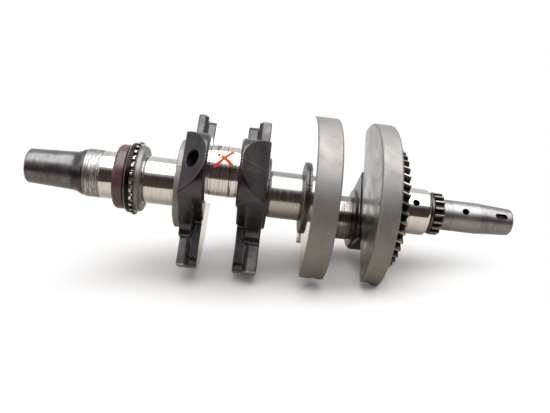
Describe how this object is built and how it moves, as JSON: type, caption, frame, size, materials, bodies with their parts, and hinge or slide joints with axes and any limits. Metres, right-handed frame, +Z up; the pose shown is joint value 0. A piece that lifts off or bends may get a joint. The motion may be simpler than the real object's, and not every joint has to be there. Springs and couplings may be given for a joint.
{
  "type": "engine crankshaft",
  "caption": "Forged crankshaft for a small vehicle engine: opposed crankpins, round counterweights, tapered ends, drive gear, sprockets and a lip seal.",
  "frame": {"origin": "middle of the centre main journal, on the crank's axis", "axes": "+X along the crank's axis towards the flywheel end, -X towards the clutch end, +Z up. Crankpin 1 points 35.5 degrees above -Y."},
  "size_m": [0.4109, 0.14, 0.14],
  "materials": {
    "satin_taper": "satin ground steel, dull grey",
    "ground_journal": "ground and polished steel",
    "forged_web": "dark forged steel, heat treated",
    "crankpin": "ground steel with fine scoring round it",
    "machined_web": "turned steel, satin",
    "satin_shaft": "satin turned steel with a worn band",
    "dark_sprocket": "dark sintered steel, bright at the tooth tips",
    "gear_steel": "dark cut teeth with bright edges",
    "pin_steel": "plain steel",
    "timing_steel": "dark sintered steel",
    "seal_case": "pressed sheet steel",
    "seal_rubber": "maroon rubber, slight sheen",
    "spring_steel": "coiled spring wire"
  },
  "bodies": {
    "crank": {"pto_taper": "satin_taper", "seal_journal": "ground_journal", "main_journal_left": "ground_journal", "web_1": "forged_web", "crankpin_1": "crankpin", "web_2": "forged_web", "main_journal_centre": "ground_journal", "web_3": "machined_web", "crankpin_2": "crankpin", "web_4": "machined_web", "main_journal_right": "ground_journal", "flywheel_shaft": "satin_shaft", "flywheel_taper": "satin_shaft", "pump_drive_sprocket": "dark_sprocket", "sprocket_collar": "dark_sprocket", "balancer_drive_gear": "gear_steel", "gear_dowel_pin": "pin_steel", "timing_sprocket": "timing_steel", "gallery_plug_1": "pin_steel", "gallery_plug_2": "pin_steel", "gallery_end_plug": "pin_steel"},
    "seal": {"seal_case": "seal_case", "seal_rubber": "seal_rubber", "seal_garter_spring": "spring_steel"}
  },
  "joints": [
    {"name": "crank_in_seal", "type": "hinge", "parent": "crank", "child": "seal", "pos_m": [-0.1365, 0, 0], "axis": [1, 0, 0], "continuous": true}
  ]
}
